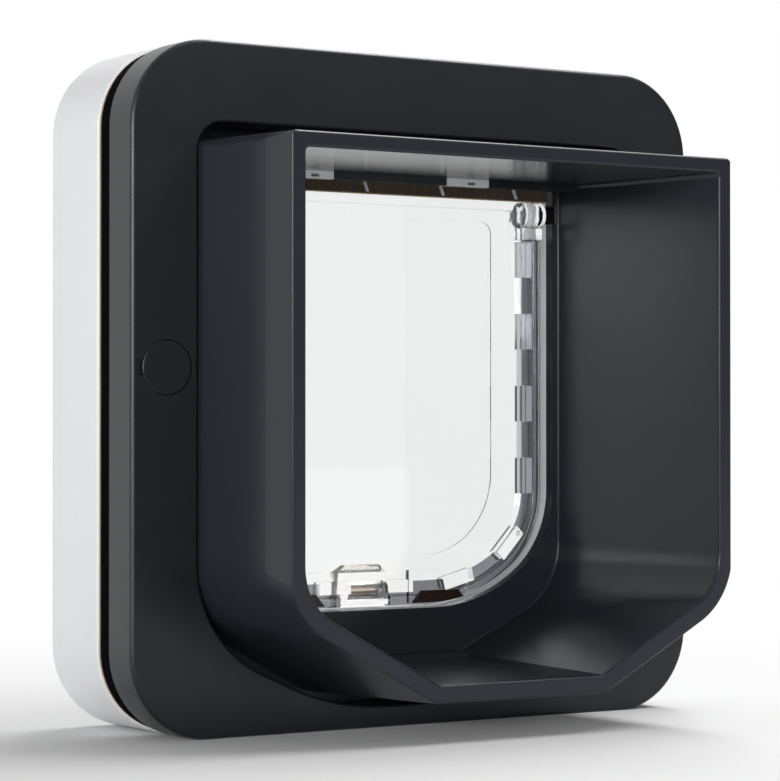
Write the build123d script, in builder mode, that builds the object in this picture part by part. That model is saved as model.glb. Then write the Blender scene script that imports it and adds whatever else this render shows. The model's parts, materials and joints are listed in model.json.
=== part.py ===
from build123d import *
import os
from math import atan2, cos, sin, tan

# Cat flap for a door, millimetres. X runs to the right seen from the street, -Y faces the street, +Z is up.
# The origin is the centre of the square outline, on the plane where the door is clamped.

# Square outline shared by the outer frame and the indoor housing
outline_size = 210.0
outline_corner = 26.4

# Depths along Y, counted from the door plane
outer_seal_thickness = 4.4
inner_seal_thickness = 3.2
frame_depth = 13.9
housing_depth = 33.8
tunnel_reach = 70.0
flange_thickness = 3.0
bulkhead_front = 11.2
bulkhead_thickness = 3.5
collar_back = 26.5
flap_axis_y = 18.7

# Outer frame: walls, seal seat and the opening that the tunnel comes through
frame_wall = 2.6
frame_edge_round = 1.2
frame_channel_width = 2.4
frame_rib = 1.8
frame_collar_wall = 2.0
frame_mouth_round = 0.8
frame_mouth_side_gap = 0.65
frame_mouth_top_gap = 7.1
frame_mouth_bottom_gap = 5.5
frame_mouth_slope = (49.2, 22.2)
frame_mouth_rounds = (9.0, 37.0, 82.0)

# Foam seals
seal_inset = 0.8
seal_width = 5.6

# Screws through the frame and their covers
screw_inset = 12.0
screw_z = 6.3
screw_radius = 2.0
screw_clearance = 0.3
screw_head_radius = 4.0
screw_head_height = 2.8
screw_tip_y = 17.0
screw_cross = (1.0, 4.4, 1.6)
cover_radius = 8.2
cover_gap = 0.2
cover_thickness = 2.0
cover_ledge = 1.2
cover_skirt_wall = 1.2
cover_skirt_height = 3.0
cover_edge_round = 0.3
screw_recess_depth = 8.0
screw_boss_wall = 2.0
pry_notch = (2.0, 1.5, 5.0)
insert_radius = 2.8
insert_length = 9.0
insert_boss_radius = 5.4
insert_bore_gap = 0.03

# Tunnel: outside at the rim and at the flange, walls and inside at the bulkhead
tunnel_side_border = 23.15
tunnel_top_border = 31.7
tunnel_bottom_border = 12.3
tunnel_slope = (50.45, 27.2)
tunnel_rounds = (2.5, 24.0, 3.5)
tunnel_wall = 5.45
rim_top_wall = 4.7
tunnel_side_draft = 0.2
tunnel_top_draft = 1.9
rim_round = 0.7
rim_inner_round = 0.8
rim_facet_length = 13.6
rim_facet_depth = 0.6
passage_drop = 3.7
rear_draft = 2.2
rear_floor = 6.7
rear_slope = (41.2, 19.6)
rear_rounds = (1.0, 25.0, 3.0)
rear_corner_round = 0.8
floor_step_length = 11.0
floor_step_height = 1.0
floor_step_inset = 4.0

# Ceiling lip with two clear sensor windows
lip_front = 1.7
lip_thickness = 3.0
lip_drop = 2.6
lip_centre_half = 21.7
window_width = 16.9
window_gap = 0.1
sensor_size = (4.0, 2.0, 1.6)

# Doorway in the bulkhead and the collar round the flap
doorway_ledge = 2.7
sill_height = 15.3
doorway_slope = (29.6, 20.6)
doorway_rounds = (1.0, 33.0, 58.0)
collar_wall = 1.6

# Flap: hinge, pane, seal strips, tabs, magnet and catches
flap_gap = 0.7
hinge_drop = 9.6
barrel_radius = 5.0
barrel_length = 8.3
pin_radius = 2.0
pin_reach = 4.2
pin_gap = 0.05
bearing_height = 6.0
bearing_depth = 7.6
bearing_length = 3.9
bearing_gap = 0.05
bearing_pad_half = 6.0
bearing_pad_wall = 1.2
flap_thickness = 5.4
beam_rise = 1.3
beam_height = 4.3
beam_round = 0.8
pane_thickness = 3.0
panel_side_margin = 21.1
panel_top_margin = 3.0
panel_bottom_margin = 16.9
panel_top_round = 4.0
panel_bottom_round = 27.0
panel_step = 0.5
strip_width = 7.9
strip_top_drop = 8.5
strip_bulb = 4.0
strip_bulb_width = 3.4
strip_bulb_round = 0.9
strip_groove_inset = 1.4
strip_groove_width = 0.6
strip_groove_depth = 1.2
strip_web = 1.9
strip_gap = 0.05
tab_length = 12.0
tab_pitch = 24.6
tab_inset = 4.3
tab_bite = 0.5
tab_gap = 0.1
tab_start_drop = 6.6
pocket_half = 9.3
pocket_height = 13.0
pocket_clearance = 1.2
pocket_front = 17.6
pocket_back = 25.0
pocket_chamfer = 2.6
strip_pocket_gap = 0.3
magnet_radius = 3.0
magnet_length = 11.2
magnet_y = 21.7
magnet_height = 4.5
magnet_gap = 0.05
catch_inset = 14.1
catch_bottom_half = 10.9
catch_top_half = 7.4
catch_clearance = 1.3
catch_height = 4.1
catch_thickness = 1.0
lug_half = 11.8
lug_thickness = 1.2
lug_rise = 12.2
lug_root = 3.5

# Brush above the flap
brush_thickness = 2.2
brush_height = 5.7
brush_end_gap = 1.5
clip_pitch = 29.6
clip_end_inset = 5.7
clip_width = 0.9
clip_thickness = 0.7
clip_lean = 3.0
clip_drop = 5.3
clip_gap = 0.05

# Latches, solenoids and the sill magnet
finger_width = 12.0
finger_thickness = 1.8
finger_gap = 0.15
finger_flap_gap = 0.4
finger_sunk = 0.4
finger_length = 12.6
finger_slot_rise = 2.0
foot_thickness = 2.5
foot_half = 4.0
plunger_radius = 2.5
plunger_length = 13.0
plunger_gap = 0.1
solenoid_width = 16.0
solenoid_depth = 14.0
solenoid_height = 15.5
solenoid_y = 24.8
solenoid_edge = 1.5
sill_magnet_size = (20.0, 6.0, 5.0)

# Antenna winding on the tunnel
coil_front = 6.4
coil_length = 4.4
coil_build = 2.5

# Indoor housing
housing_wall = 2.5
housing_back_round = 5.5
housing_front_round = 0.6
flange_gap = 0.25
bezel_wall = 1.6
bezel_flare = 5.2
bezel_start_gap = 0.6
housing_screw_inset = 14.0
housing_screw_radius = 1.5
housing_screw_head_radius = 2.8
housing_screw_head_height = 1.6
housing_screw_length = 12.0
housing_boss_radius = 3.5

# Batteries, trays and lids
battery_radius = 7.0
battery_length = 50.5
battery_tip_radius = 2.75
battery_tip_height = 1.2
battery_edge_round = 0.7
tray_wall = 1.1
tray_inner_x = 27.5
tray_front_gap = 0.3
battery_gap = 0.25
contact_thickness = 0.5
contact_width = 9.0
tray_mouth_cut = 1.5
lid_inner_margin = 1.3
lid_outer_margin = 1.6
lid_rise = 4.8
lid_front = 24.0
lid_gap = 0.25
lid_grip = (16.0, 1.2, 3.0)

# Board, buttons and indicator
board_side_gap = 3.0
board_rise = 1.8
board_height = 28.0
board_thickness = 1.6
board_back = 25.6
post_radius = 2.6
post_side_inset = 4.5
post_inset = 3.5
post_screw_radius = 1.0
post_screw_length = 6.0
post_screw_head_radius = 2.0
post_screw_head_height = 1.3
control_rise = 15.0
button_x = 11.0
button_radius = 4.0
button_gap = 0.15
button_proud = 1.2
button_flange_radius = 5.2
button_flange_thickness = 1.0
button_flange_gap = 0.1
button_stem_radius = 1.6
button_travel = 1.0
switch_size = 6.0
switch_height = 3.5
switch_plunger_radius = 1.7
switch_plunger_height = 0.8
lens_radius = 2.0
lens_gap = 0.05
lens_proud = 0.3
led_size = (3.2, 1.8, 2.6)
chip_size = 10.0
chip_height = 1.4
capacitor_radius = 3.2
capacitor_height = 7.0
capacitor_side_inset = 9.5
capacitor_rise = 9.0

# Least round of an outline's corner
least_round = 1.5

# Places worked out from the sizes above, from the outline inwards
half_outline = outline_size / 2
screw_x = half_outline - screw_inset
housing_screw_at = half_outline - housing_screw_inset
tunnel_half = half_outline - tunnel_side_border
tunnel_top = half_outline - tunnel_top_border
tunnel_bottom = tunnel_bottom_border - half_outline
tunnel_side_z = tunnel_bottom + tunnel_slope[1]
tunnel_bottom_x = tunnel_half - tunnel_slope[0]
frame_mouth_half = tunnel_half + frame_mouth_side_gap
frame_mouth_top = tunnel_top + frame_mouth_top_gap
frame_mouth_bottom = tunnel_bottom - frame_mouth_bottom_gap
frame_mouth_side_z = frame_mouth_bottom + frame_mouth_slope[1]
frame_mouth_bottom_x = frame_mouth_half - frame_mouth_slope[0]
passage_top = tunnel_top - passage_drop
rear_half = tunnel_half - tunnel_wall - rear_draft
rear_bottom = tunnel_bottom + rear_floor
rear_side_z = rear_bottom + rear_slope[1]
rear_bottom_x = rear_half - rear_slope[0]
floor_step_half = rear_bottom_x - floor_step_inset
doorway_half = rear_half - doorway_ledge
doorway_bottom = rear_bottom + sill_height
doorway_side_z = doorway_bottom + doorway_slope[1]
doorway_bottom_x = doorway_half - doorway_slope[0]
hinge_z = passage_top - hinge_drop
beam_bottom = hinge_z + beam_rise
beam_top = beam_bottom + beam_height
panel_half = doorway_half - panel_side_margin
panel_top = hinge_z - panel_top_margin
panel_bottom = doorway_bottom + panel_bottom_margin
strip_top = hinge_z - strip_top_drop
tab_start = strip_top - tab_start_drop
pocket_bottom = doorway_bottom + pocket_clearance
pocket_top = pocket_bottom + pocket_height
magnet_z = pocket_bottom + magnet_height
catch_x = doorway_bottom_x - catch_inset
catch_bottom = doorway_bottom + catch_clearance
lug_top = doorway_bottom + lug_rise
brush_half = doorway_half - brush_end_gap
clip_first_x = clip_end_inset - brush_half
clip_count = int((2 * brush_half - clip_end_inset) / clip_pitch) + 1
frame_back = -outer_seal_thickness
frame_front = frame_back - frame_depth
housing_front = inner_seal_thickness
housing_back = housing_front + housing_depth
housing_inside = housing_back - housing_wall
rim_front = -tunnel_reach
flange_back = housing_front + flange_thickness
bulkhead_back = bulkhead_front + bulkhead_thickness
brush_front = bulkhead_front
floor_inside = -half_outline + housing_wall
flap_front = flap_axis_y - flap_thickness / 2
flap_back = flap_axis_y + flap_thickness / 2
pane_front = flap_axis_y - pane_thickness / 2
pane_back = flap_axis_y + pane_thickness / 2
flap_half = doorway_half - flap_gap
collar_top = passage_top + collar_wall
sill_under = doorway_bottom - collar_wall
screw_seat = frame_front + screw_recess_depth
board_front = board_back - board_thickness
board_half = tray_inner_x - board_side_gap
board_bottom = collar_top + board_rise
board_centre_z = board_bottom + board_height / 2
post_x = board_half - post_side_inset
control_z = board_bottom + control_rise
capacitor_x = board_half - capacitor_side_inset
capacitor_z = board_bottom + capacitor_rise
tray_front = bulkhead_back + tray_front_gap
tray_floor = collar_top
tray_length = battery_length + battery_tip_height + 2 * contact_thickness
tray_outer_x = tray_inner_x + tray_length + 2 * tray_wall
lid_inner_x = tray_inner_x - lid_inner_margin
lid_outer_x = tray_outer_x + lid_outer_margin
lid_bottom = collar_top + lid_rise
tray_inside_height = 4 * battery_radius + 3 * battery_gap
tray_top = tray_floor + tray_inside_height + 2 * tray_wall
battery_y = tray_front + tray_wall + battery_gap + battery_radius
tray_back = battery_y + battery_radius - tray_mouth_cut
catch_back = flap_axis_y - strip_bulb / 2 - strip_gap - lug_thickness
catch_front = catch_back - catch_thickness
finger_exit_y = catch_front - finger_flap_gap - finger_thickness / 2
finger_entry_y = flap_back + finger_flap_gap + finger_thickness / 2
finger_top = doorway_bottom - finger_sunk
foot_top = finger_top - finger_length
solenoid_bottom = floor_inside
sides = (-1, 1)
side_names = {-1: "left", 1: "right"}

rim_gate = (tunnel_half, tunnel_top, tunnel_bottom, tunnel_side_z, tunnel_bottom_x, tunnel_rounds)
rim_inside_gate = (
    tunnel_half,
    tunnel_top + tunnel_wall - rim_top_wall,
    tunnel_bottom,
    tunnel_side_z,
    tunnel_bottom_x,
    tunnel_rounds,
)
base_gate = (
    tunnel_half + tunnel_side_draft,
    tunnel_top + tunnel_top_draft,
    tunnel_bottom - tunnel_top_draft,
    tunnel_side_z - tunnel_top_draft,
    tunnel_bottom_x,
    tunnel_rounds,
)
rear_gate = (rear_half, passage_top, rear_bottom, rear_side_z, rear_bottom_x, rear_rounds)
doorway_gate = (
    doorway_half,
    passage_top,
    doorway_bottom,
    doorway_side_z,
    doorway_bottom_x,
    doorway_rounds,
)
frame_gate = (
    frame_mouth_half,
    frame_mouth_top,
    frame_mouth_bottom,
    frame_mouth_side_z,
    frame_mouth_bottom_x,
    frame_mouth_rounds,
)
bezel_front_gate = (
    doorway_half + bezel_start_gap,
    passage_top,
    doorway_bottom - bezel_start_gap,
    doorway_side_z,
    doorway_bottom_x,
    doorway_rounds,
)
bezel_back_gate = (
    doorway_half + bezel_start_gap + bezel_flare,
    passage_top,
    doorway_bottom - bezel_start_gap - bezel_flare,
    doorway_side_z - bezel_flare / 2,
    doorway_bottom_x + bezel_flare / 2,
    doorway_rounds,
)


# Upright plane at a given depth: local x is X, local y is Z, and extruding goes towards the street
def upright(y):
    return Plane(origin=(0, y, 0), x_dir=(1, 0, 0), z_dir=(0, -1, 0))


# Tunnel-shaped outline: flat top, upright sides and sloping lower corners, widened all round by grow
def gate_corners(half, top, bottom, side_z, bottom_x, rounds, grow=0.0):
    slope = atan2(side_z - bottom, half - bottom_x)
    side = half + grow
    corner_z = side_z - grow * cos(slope) / (1 + sin(slope))
    corner_x = bottom_x + grow * tan(slope / 2)
    points = [
        (-side, top + grow),
        (side, top + grow),
        (side, corner_z),
        (corner_x, bottom - grow),
        (-corner_x, bottom - grow),
        (-side, corner_z),
    ]
    top_round, side_round, bottom_round = [max(size + grow, least_round) for size in rounds]
    radii = [top_round, top_round, side_round, bottom_round, bottom_round, side_round]
    return points, radii


def gate(half, top, bottom, side_z, bottom_x, rounds, grow=0.0, mode=Mode.ADD):
    points, radii = gate_corners(half, top, bottom, side_z, bottom_x, rounds, grow)
    with BuildLine() as outline:
        FilletPolyline(*points, radius=radii, close=True)
    make_face(outline.edges(), mode=mode)


# Square outline with round corners, drawn inset from the shared outline
def rounded_square(inset, mode=Mode.ADD):
    size = outline_size - 2 * inset
    RectangleRounded(size, size, outline_corner - inset, mode=mode)


# Box between two opposite corners
def block(low, high, mode=Mode.ADD):
    centre = [(a + b) / 2 for a, b in zip(low, high)]
    size = [b - a for a, b in zip(low, high)]
    with Locations(tuple(centre)):
        Box(*size, mode=mode)


# Cylinder along Y between two depths
def rod_y(x, z, radius, front, back, mode=Mode.ADD):
    with Locations(Plane(origin=(x, (front + back) / 2, z), z_dir=(0, 1, 0))):
        Cylinder(radius, back - front, mode=mode)


# Cylinder along X between two places
def rod_x(low, high, y, z, radius, mode=Mode.ADD):
    with Locations(Plane(origin=((low + high) / 2, y, z), z_dir=(1, 0, 0))):
        Cylinder(radius, high - low, mode=mode)


def save(builder, name):
    builder.part.label = name
    export_step(builder.part, f"parts/{name}.step")


os.makedirs("parts", exist_ok=True)

# Outer frame: hollow surround with a seal channel, an inner collar and two screw bosses
boss_radius = cover_radius + cover_gap + screw_boss_wall
cavity_depth = frame_depth - frame_wall
with BuildPart() as outer_frame:
    with BuildSketch(upright(frame_back)):
        rounded_square(0)
    extrude(amount=frame_depth)
    fillet(outer_frame.faces().sort_by(Axis.Y)[0].edges(), frame_edge_round)
    with BuildSketch(upright(frame_back)):
        rounded_square(frame_wall)
        rounded_square(frame_wall + frame_channel_width, mode=Mode.SUBTRACT)
        with Locations((-screw_x, screw_z), (screw_x, screw_z)):
            Circle(boss_radius, mode=Mode.SUBTRACT)
    extrude(amount=cavity_depth, mode=Mode.SUBTRACT)
    with BuildSketch(upright(frame_back)):
        rounded_square(frame_wall + frame_channel_width + frame_rib)
        gate(*frame_gate, grow=frame_collar_wall, mode=Mode.SUBTRACT)
        with Locations((-screw_x, screw_z), (screw_x, screw_z)):
            Circle(boss_radius, mode=Mode.SUBTRACT)
    extrude(amount=cavity_depth, mode=Mode.SUBTRACT)
    with BuildSketch(upright(frame_back)):
        gate(*frame_gate)
    extrude(amount=frame_depth, mode=Mode.SUBTRACT)
    fillet(outer_frame.faces().sort_by(Axis.Y)[0].inner_wires().edges(), frame_mouth_round)
    for side in sides:
        cover_seat_radius = cover_radius + cover_gap
        cover_seat = frame_front + cover_thickness
        rod_y(side * screw_x, screw_z, cover_seat_radius, frame_front, cover_seat, Mode.SUBTRACT)
        rod_y(side * screw_x, screw_z, cover_seat_radius - cover_ledge, frame_front, screw_seat, Mode.SUBTRACT)
        rod_y(side * screw_x, screw_z, screw_radius + screw_clearance, screw_seat, frame_back, Mode.SUBTRACT)
        notch_x = side * (screw_x + cover_seat_radius)
        notch_wide, notch_deep, notch_tall = pry_notch
        block(
            (notch_x - notch_wide, frame_front, screw_z - notch_tall / 2),
            (notch_x + notch_wide, frame_front + notch_deep, screw_z + notch_tall / 2),
            Mode.SUBTRACT,
        )
save(outer_frame, "outer_frame")

# Foam seals on the frame's back and on the housing's front
with BuildPart() as outer_seal:
    with BuildSketch(upright(0)):
        rounded_square(seal_inset)
        rounded_square(seal_inset + seal_width, mode=Mode.SUBTRACT)
    extrude(amount=outer_seal_thickness)
save(outer_seal, "outer_seal")

with BuildPart() as inner_seal:
    with BuildSketch(upright(housing_front)):
        rounded_square(seal_inset)
        rounded_square(seal_inset + seal_width, mode=Mode.SUBTRACT)
    extrude(amount=inner_seal_thickness)
save(inner_seal, "inner_seal")

# Snap-in covers over the screws, flush with the frame's face
for side in sides:
    with BuildPart() as screw_cover:
        cover_back = frame_front + cover_thickness
        skirt_radius = cover_radius + cover_gap - cover_ledge - cover_gap
        rod_y(side * screw_x, screw_z, cover_radius, frame_front, cover_back)
        fillet(screw_cover.faces().sort_by(Axis.Y)[0].edges(), cover_edge_round)
        skirt_back = cover_back + cover_skirt_height
        rod_y(side * screw_x, screw_z, skirt_radius, cover_back, skirt_back)
        skirt_bore = skirt_radius - cover_skirt_wall
        rod_y(side * screw_x, screw_z, skirt_bore, cover_back, skirt_back, Mode.SUBTRACT)
    save(screw_cover, f"screw_cover_{side_names[side]}")

# Long screws that pull the frame towards the indoor unit, with their brass inserts
for side in sides:
    with BuildPart() as fixing_screw:
        head_front = screw_seat - screw_head_height
        rod_y(side * screw_x, screw_z, screw_head_radius, head_front, screw_seat)
        rod_y(side * screw_x, screw_z, screw_radius, screw_seat, screw_tip_y)
        slot_wide, slot_long, slot_deep = screw_cross
        for half_x, half_z in ((slot_wide / 2, slot_long / 2), (slot_long / 2, slot_wide / 2)):
            block(
                (side * screw_x - half_x, head_front, screw_z - half_z),
                (side * screw_x + half_x, head_front + slot_deep, screw_z + half_z),
                Mode.SUBTRACT,
            )
    save(fixing_screw, f"fixing_screw_{side_names[side]}")
    with BuildPart() as screw_insert:
        insert_back = flange_back + insert_length
        rod_y(side * screw_x, screw_z, insert_radius, flange_back, insert_back)
        rod_y(side * screw_x, screw_z, screw_radius + insert_bore_gap, flange_back, insert_back, Mode.SUBTRACT)
    save(screw_insert, f"screw_insert_{side_names[side]}")

# Tunnel body: tunnel, door flange, bulkhead with the doorway and ceiling lip
lip_bottom = passage_top - lip_drop
lip_back = lip_front + lip_thickness
ceiling_rise = (passage_top - tunnel_top + rim_top_wall) / (bulkhead_front - rim_front)
lip_ceiling = passage_top - ceiling_rise * (bulkhead_front - lip_front)
window_outer = lip_centre_half + window_width
slot_top = hinge_z + bearing_height / 2 + bearing_gap
slot_bottom = hinge_z - bearing_height / 2 - bearing_gap
slot_back = flap_axis_y + bearing_depth / 2 + bearing_gap
slot_outer = doorway_half + bearing_length + 2 * bearing_gap
finger_slot_half = finger_width / 2 + finger_gap
finger_slot_depth = finger_thickness + 2 * finger_gap
with BuildPart() as tunnel_body:
    with BuildSketch(upright(rim_front)):
        gate(*rim_gate)
    with BuildSketch(upright(housing_front)):
        gate(*base_gate)
    loft(ruled=True)
    with BuildSketch(upright(bulkhead_back)):
        gate(*base_gate)
    extrude(amount=bulkhead_back - housing_front)
    with BuildSketch(upright(flange_back)):
        rounded_square(housing_wall + flange_gap)
    extrude(amount=flange_thickness)
    with BuildSketch(upright(rim_front)):
        gate(*rim_inside_gate, grow=-tunnel_wall)
    with BuildSketch(upright(bulkhead_front)):
        gate(*rear_gate)
    loft(ruled=True, mode=Mode.SUBTRACT)
    # Small round in the corner between the passage and the bulkhead
    bulkhead_edges = tunnel_body.edges().filter_by_position(
        Axis.Y, bulkhead_front - rear_corner_round / 2, bulkhead_front + rear_corner_round / 2
    )
    fillet(bulkhead_edges, rear_corner_round)
    # Slightly drawn-in side faces behind the rim
    for side in sides:
        with BuildSketch(Plane.XY.offset(tunnel_side_z)):
            with BuildLine():
                facet_back = rim_front + rim_facet_length
                Polyline(
                    (side * tunnel_half, facet_back),
                    (side * (tunnel_half - rim_facet_depth), rim_front),
                    (side * (tunnel_half + tunnel_wall), rim_front),
                    (side * (tunnel_half + tunnel_wall), facet_back),
                    close=True,
                )
            make_face()
        extrude(amount=tunnel_top + tunnel_wall - tunnel_side_z, mode=Mode.SUBTRACT)
    fillet(tunnel_body.faces().sort_by(Axis.Y)[0].outer_wire().edges(), rim_round)
    fillet(tunnel_body.faces().sort_by(Axis.Y)[0].inner_wires().edges(), rim_inner_round)
    # Doorway
    with BuildSketch(upright(bulkhead_back)):
        gate(*doorway_gate)
    extrude(amount=bulkhead_thickness + rear_corner_round, mode=Mode.SUBTRACT)
    # Low step across the floor in front of the sill
    block(
        (-floor_step_half, bulkhead_front - floor_step_length, rear_bottom - floor_step_height),
        (floor_step_half, bulkhead_front, rear_bottom + floor_step_height),
    )
    # Ceiling lip, open at the two sensor windows
    lip_end = rear_half + lip_thickness
    for low, high in ((-lip_end, -window_outer), (-lip_centre_half, lip_centre_half), (window_outer, lip_end)):
        block((low, lip_front, lip_bottom), (high, lip_back, passage_top))
    # Slots for the hinge bearings, open to the street side
    for side in sides:
        slot_from = side * doorway_half
        slot_to = side * slot_outer
        block(
            (min(slot_from, slot_to), bulkhead_front, slot_bottom),
            (max(slot_from, slot_to), bulkhead_back, slot_top),
            Mode.SUBTRACT,
        )
    # Groove in the bulkhead for the exit finger
    block(
        (-catch_x - finger_slot_half, finger_exit_y - finger_slot_depth / 2, foot_top - 2 * foot_thickness),
        (-catch_x + finger_slot_half, bulkhead_back, doorway_bottom + finger_slot_rise),
        Mode.SUBTRACT,
    )
    # Bosses for the brass inserts and holes for the screws
    for side in sides:
        insert_back = flange_back + insert_length
        rod_y(side * screw_x, screw_z, insert_boss_radius, flange_back, insert_back)
        rod_y(side * screw_x, screw_z, insert_radius, flange_back, insert_back, Mode.SUBTRACT)
        rod_y(side * screw_x, screw_z, screw_radius + screw_clearance, housing_front, flange_back, Mode.SUBTRACT)
        for level in sides:
            at_x = side * housing_screw_at
            at_z = level * housing_screw_at
            head_seat = housing_front + housing_screw_head_height
            hole_radius = housing_screw_radius + screw_clearance
            head_hole_radius = housing_screw_head_radius + screw_clearance
            rod_y(at_x, at_z, hole_radius, housing_front, flange_back, Mode.SUBTRACT)
            rod_y(at_x, at_z, head_hole_radius, housing_front, head_seat, Mode.SUBTRACT)
save(tunnel_body, "tunnel_body")

# White surround of the flap behind the bulkhead: collar, sill and pads for the hinge bearings
with BuildPart() as flap_surround:
    with BuildSketch(upright(collar_back)):
        gate(*doorway_gate, grow=collar_wall)
    extrude(amount=collar_back - bulkhead_back)
    for side in sides:
        pad_inner = side * doorway_half
        pad_outer = side * (slot_outer + bearing_pad_wall)
        block(
            (min(pad_inner, pad_outer), bulkhead_back, hinge_z - bearing_pad_half),
            (max(pad_inner, pad_outer), slot_back + bearing_pad_wall, hinge_z + bearing_pad_half),
        )
    with BuildSketch(upright(collar_back)):
        gate(*doorway_gate)
    extrude(amount=collar_back - bulkhead_back, mode=Mode.SUBTRACT)
    for side in sides:
        slot_from = side * doorway_half
        slot_to = side * slot_outer
        block(
            (min(slot_from, slot_to), bulkhead_back, slot_bottom),
            (max(slot_from, slot_to), slot_back, slot_top),
            Mode.SUBTRACT,
        )
    # Slot in the sill for the entry finger
    block(
        (catch_x - finger_slot_half, finger_entry_y - finger_slot_depth / 2, sill_under),
        (catch_x + finger_slot_half, finger_entry_y + finger_slot_depth / 2, doorway_bottom + finger_slot_rise),
        Mode.SUBTRACT,
    )
save(flap_surround, "flap_surround")

# Clear windows in the lip with a dark sensor behind each
for side in sides:
    window_x = side * (lip_centre_half + window_width / 2)
    with BuildPart() as sensor_window:
        half_wide = window_width / 2 - window_gap
        block((window_x - half_wide, lip_front, lip_bottom), (window_x + half_wide, lip_back, lip_ceiling))
    save(sensor_window, f"sensor_window_{side_names[side]}")
    with BuildPart() as proximity_sensor:
        sensor_wide, sensor_deep, sensor_tall = sensor_size
        block(
            (window_x - sensor_wide / 2, lip_back, lip_ceiling - sensor_tall),
            (window_x + sensor_wide / 2, lip_back + sensor_deep, lip_ceiling),
        )
    save(proximity_sensor, f"proximity_sensor_{side_names[side]}")

# Pile strip under the collar's ceiling, just above the flap
with BuildPart() as draught_brush:
    block(
        (-brush_half, brush_front, passage_top - brush_height),
        (brush_half, brush_front + brush_thickness, passage_top),
    )
save(draught_brush, "draught_brush")

# Slanted clear clips in front of the brush, one group
with BuildPart() as brush_clips:
    for index in range(clip_count):
        with BuildSketch(Plane.YZ.offset(clip_first_x + index * clip_pitch - clip_width / 2)):
            with BuildLine():
                Polyline(
                    (brush_front, passage_top - clip_gap),
                    (brush_front - clip_thickness, passage_top - clip_gap),
                    (brush_front - clip_thickness - clip_lean, passage_top - clip_drop),
                    (brush_front - clip_lean, passage_top - clip_drop),
                    close=True,
                )
            make_face()
        extrude(amount=clip_width)
save(brush_clips, "brush_clips")

# Bearing blocks that slide into the collar's slots and carry the flap's pins
for side in sides:
    with BuildPart() as hinge_bearing:
        near = side * (doorway_half + bearing_gap)
        far = side * (doorway_half + bearing_gap + bearing_length)
        block(
            (min(near, far), flap_axis_y - bearing_depth / 2, hinge_z - bearing_height / 2),
            (max(near, far), flap_axis_y + bearing_depth / 2, hinge_z + bearing_height / 2),
        )
        rod_x(min(near, far), max(near, far), flap_axis_y, hinge_z, pin_radius + pin_gap, Mode.SUBTRACT)
    save(hinge_bearing, f"hinge_bearing_{side_names[side]}")

# Flap pane: clear moulding with beam, barrels, pins, holding tabs and magnet pocket
pane_top = beam_top + flap_gap + strip_width
pane_gate = (doorway_half, pane_top, doorway_bottom, doorway_side_z, doorway_bottom_x, doorway_rounds)
tab_width = strip_width - tab_inset + tab_bite
tab_points, tab_radii = gate_corners(*doorway_gate, grow=-flap_gap - tab_inset - tab_width / 2)
with BuildLine(upright(flap_axis_y)) as tab_path:
    FilletPolyline(
        (tab_points[1][0], tab_start),
        *tab_points[2:],
        (tab_points[0][0], tab_start),
        radius=tab_radii[2:],
    )
tab_wire = tab_path.wires()[0]
tab_count = round(tab_wire.length / tab_pitch) + 1
tab_planes = []
for index in range(tab_count):
    along = index / (tab_count - 1)
    tab_place = tab_wire.position_at(along)
    tab_planes.append(Plane(origin=tab_place, x_dir=tab_wire.tangent_at(along), z_dir=(0, -1, 0)))
with BuildPart() as pocket:
    block((-pocket_half, pocket_front, pocket_bottom), (pocket_half, pocket_back, pocket_top))
    chamfer(pocket.edges().filter_by(Axis.Y).group_by(Axis.Z)[-1], pocket_chamfer)
    chamfer(pocket.edges().filter_by(Axis.X).group_by(Axis.Z)[-1].sort_by(Axis.Y)[-1], pocket_chamfer)
with BuildPart() as flap_pane:
    with BuildSketch(upright(pane_back)):
        gate(*pane_gate, grow=-flap_gap - strip_width)
    extrude(amount=pane_thickness)
    with BuildSketch(upright(pane_front + panel_step)):
        with BuildLine():
            FilletPolyline(
                (-panel_half, panel_top),
                (panel_half, panel_top),
                (panel_half, panel_bottom),
                (-panel_half, panel_bottom),
                radius=[panel_top_round, panel_top_round, panel_bottom_round, panel_bottom_round],
                close=True,
            )
        make_face()
    extrude(amount=panel_step, mode=Mode.SUBTRACT)
    # Top beam and the two side arms with the hinge barrels and pins
    block((-flap_half, flap_front, beam_bottom), (flap_half, flap_back, beam_top))
    fillet(flap_pane.edges().filter_by(Axis.X).group_by(Axis.Z)[-1], beam_round)
    for side in sides:
        arm_from = side * (flap_half - barrel_length)
        arm_to = side * flap_half
        arm_low, arm_high = min(arm_from, arm_to), max(arm_from, arm_to)
        block((arm_low, flap_front, strip_top), (arm_high, flap_back, beam_bottom))
        rod_x(arm_low, arm_high, flap_axis_y, hinge_z, barrel_radius)
        pin_to = side * (flap_half + pin_reach)
        rod_x(min(arm_to, pin_to), max(arm_to, pin_to), flap_axis_y, hinge_z, pin_radius)
    # Tabs along the edge, with the seal strips between them
    with Locations(*tab_planes):
        Box(tab_length, tab_width, flap_thickness)
    # Lugs that carry the catch plates
    with BuildSketch(upright(catch_back + lug_thickness)):
        with Locations((-catch_x, (catch_bottom + lug_top) / 2), (catch_x, (catch_bottom + lug_top) / 2)):
            Rectangle(2 * lug_half, lug_top - catch_bottom)
        gate(*doorway_gate, grow=-2 * flap_gap, mode=Mode.INTERSECT)
    extrude(amount=lug_thickness)
    for side in sides:
        block(
            (side * catch_x - lug_half, catch_back, lug_top - lug_root),
            (side * catch_x + lug_half, pane_front + tab_bite, lug_top),
        )
    # Pocket for the magnet, bored from the right
    add(pocket.part)
    bore_from = -magnet_length / 2 - magnet_gap
    rod_x(bore_from, pocket_half, magnet_y, magnet_z, magnet_radius + magnet_gap, Mode.SUBTRACT)
save(flap_pane, "flap_pane")

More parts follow.
